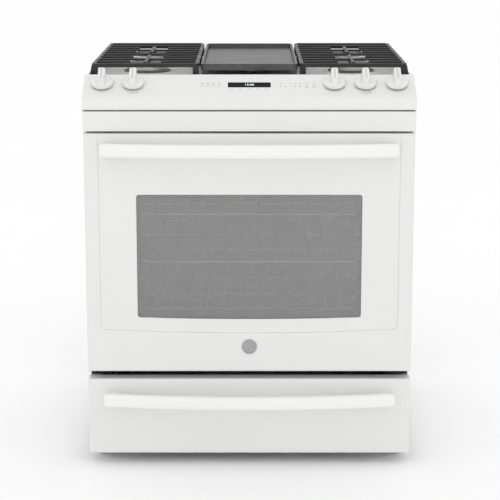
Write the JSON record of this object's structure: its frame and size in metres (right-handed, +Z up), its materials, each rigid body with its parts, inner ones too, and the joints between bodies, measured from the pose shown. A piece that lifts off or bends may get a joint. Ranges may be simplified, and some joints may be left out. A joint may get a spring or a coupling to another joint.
{
  "type": "freestanding gas range",
  "caption": "White gas range with a sloped control panel, cast iron grates, a griddle, a windowed oven door that drops open and a storage drawer.",
  "frame": {"origin": "on the floor, under the middle of the range", "axes": "+X to the user's right, +Y to the back, +Z up; the door faces -Y"},
  "size_m": [0.76, 0.7299, 0.943],
  "materials": {
    "white_enamel": "gloss enamel",
    "deck_enamel": "gloss enamel",
    "handle_white": "white powder coat",
    "knob_white": "satin plastic",
    "grate_iron": "matt enamel",
    "griddle_iron": "non-stick coating",
    "cap_enamel": "matt black enamel",
    "base_enamel": "dark enamel",
    "burner_aluminium": "cast",
    "tube_aluminium": "drawn",
    "galvanised": "galvanised",
    "steel": "zinc plated",
    "oven_enamel": "speckled dark enamel",
    "rack_chrome": "plated wire",
    "window_glass": "tinted",
    "inner_glass": "clear",
    "lamp_glass": "clear",
    "display_black": "gloss black",
    "badge_metal": "satin",
    "mineral_wool": "loose",
    "gasket_rope": "woven",
    "brass": "machined",
    "ceramic": "ceramic",
    "circuit_board": "satin"
  },
  "bodies": {
    "root": {"side_panel_left": "white_enamel", "side_panel_right": "white_enamel", "control_panel": "white_enamel", "lower_band": "white_enamel", "cooktop_deck": "deck_enamel", "burner_caps": "cap_enamel", "burner_bases": "base_enamel", "burner_heads": "burner_aluminium", "gas_tubes": "tube_aluminium", "pressure_regulator": "tube_aluminium", "rear_panel": "galvanised", "base_frame": "galvanised", "drawer_rails_fixed": "galvanised", "oven_flue": "galvanised", "gas_manifold": "steel", "hinge_arms": "steel", "chassis_screws": "steel", "levelling_legs": "steel", "bake_burner": "steel", "broil_burner": "steel", "oven_liner": "oven_enamel", "oven_floor_panel": "oven_enamel", "front_frame": "oven_enamel", "oven_lamp": "lamp_glass", "display_glass": "display_black", "oven_insulation": "mineral_wool", "door_gasket": "gasket_rope", "gas_valves": "brass", "igniter_electrodes": "ceramic", "oven_igniters": "ceramic", "control_board": "circuit_board"},
    "door": {"door_skin": "white_enamel", "door_window_glass": "window_glass", "door_liner": "oven_enamel", "door_inner_glass": "inner_glass", "door_handle": "handle_white", "door_handle_brackets": "handle_white", "door_hinge_pins": "steel", "door_badge": "badge_metal"},
    "drawer": {"drawer_front": "white_enamel", "drawer_box": "galvanised", "drawer_handle": "handle_white", "drawer_handle_brackets": "handle_white", "drawer_rails_moving": "galvanised"},
    "left_grate": {"left_grate": "grate_iron"},
    "right_grate": {"right_grate": "grate_iron"},
    "griddle": {"griddle": "griddle_iron"},
    "rack_lower": {"oven_rack_lower": "rack_chrome"},
    "rack_middle": {"oven_rack_middle": "rack_chrome"},
    "rack_upper": {"oven_rack_upper": "rack_chrome"},
    "plug_rear_left": {"valve_plug_rear_left": "brass"},
    "knob_rear_left": {"knob_rear_left": "knob_white"},
    "plug_front_left": {"valve_plug_front_left": "brass"},
    "knob_front_left": {"knob_front_left": "knob_white"},
    "plug_centre": {"valve_plug_centre": "brass"},
    "knob_centre": {"knob_centre": "knob_white"},
    "plug_front_right": {"valve_plug_front_right": "brass"},
    "knob_front_right": {"knob_front_right": "knob_white"},
    "plug_rear_right": {"valve_plug_rear_right": "brass"},
    "knob_rear_right": {"knob_rear_right": "knob_white"}
  },
  "joints": [
    {"name": "door_hinge", "type": "hinge", "parent": "root", "child": "door", "pos_m": [0, -0.28, 0.24], "axis": [1, 0, 0], "range_deg": [0, 90], "stiffness_Nm_per_rad": 20, "springref_deg": -14.32},
    {"name": "drawer_slide", "type": "slide", "parent": "root", "child": "drawer", "axis": [0, -1, 0], "range_m": [0, 0.4]},
    {"name": "left_grate_lift", "type": "slide", "parent": "root", "child": "left_grate", "axis": [0, 0, 1], "range_m": [0, 0.08]},
    {"name": "right_grate_lift", "type": "slide", "parent": "root", "child": "right_grate", "axis": [0, 0, 1], "range_m": [0, 0.08]},
    {"name": "griddle_lift", "type": "slide", "parent": "root", "child": "griddle", "axis": [0, 0, 1], "range_m": [0, 0.08]},
    {"name": "rack_lower_slide", "type": "slide", "parent": "root", "child": "rack_lower", "axis": [0, -1, 0], "range_m": [0, 0.02]},
    {"name": "rack_middle_slide", "type": "slide", "parent": "root", "child": "rack_middle", "axis": [0, -1, 0], "range_m": [0, 0.02]},
    {"name": "rack_upper_slide", "type": "slide", "parent": "root", "child": "rack_upper", "axis": [0, -1, 0], "range_m": [0, 0.02]},
    {"name": "knob_turn_rear_left", "type": "hinge", "parent": "root", "child": "plug_rear_left", "pos_m": [-0.337, -0.25761, 0.90125], "axis": [0, -0.4559, 0.89], "range_deg": [0, 210]},
    {"name": "knob_push_rear_left", "type": "slide", "parent": "plug_rear_left", "child": "knob_rear_left", "axis": [0, 0.4559, -0.89], "range_m": [0, 0.003], "stiffness_N_per_m": 1500, "springref_m": -0.002},
    {"name": "knob_turn_front_left", "type": "hinge", "parent": "root", "child": "plug_front_left", "pos_m": [-0.266, -0.25761, 0.90125], "axis": [0, -0.4559, 0.89], "range_deg": [0, 210]},
    {"name": "knob_push_front_left", "type": "slide", "parent": "plug_front_left", "child": "knob_front_left", "axis": [0, 0.4559, -0.89], "range_m": [0, 0.003], "stiffness_N_per_m": 1500, "springref_m": -0.002},
    {"name": "knob_turn_centre", "type": "hinge", "parent": "root", "child": "plug_centre", "pos_m": [0.195, -0.25761, 0.90125], "axis": [0, -0.4559, 0.89], "range_deg": [0, 210]},
    {"name": "knob_push_centre", "type": "slide", "parent": "plug_centre", "child": "knob_centre", "axis": [0, 0.4559, -0.89], "range_m": [0, 0.003], "stiffness_N_per_m": 1500, "springref_m": -0.002},
    {"name": "knob_turn_front_right", "type": "hinge", "parent": "root", "child": "plug_front_right", "pos_m": [0.266, -0.25761, 0.90125], "axis": [0, -0.4559, 0.89], "range_deg": [0, 210]},
    {"name": "knob_push_front_right", "type": "slide", "parent": "plug_front_right", "child": "knob_front_right", "axis": [0, 0.4559, -0.89], "range_m": [0, 0.003], "stiffness_N_per_m": 1500, "springref_m": -0.002},
    {"name": "knob_turn_rear_right", "type": "hinge", "parent": "root", "child": "plug_rear_right", "pos_m": [0.338, -0.25761, 0.90125], "axis": [0, -0.4559, 0.89], "range_deg": [0, 210]},
    {"name": "knob_push_rear_right", "type": "slide", "parent": "plug_rear_right", "child": "knob_rear_right", "axis": [0, 0.4559, -0.89], "range_m": [0, 0.003], "stiffness_N_per_m": 1500, "springref_m": -0.002}
  ]
}
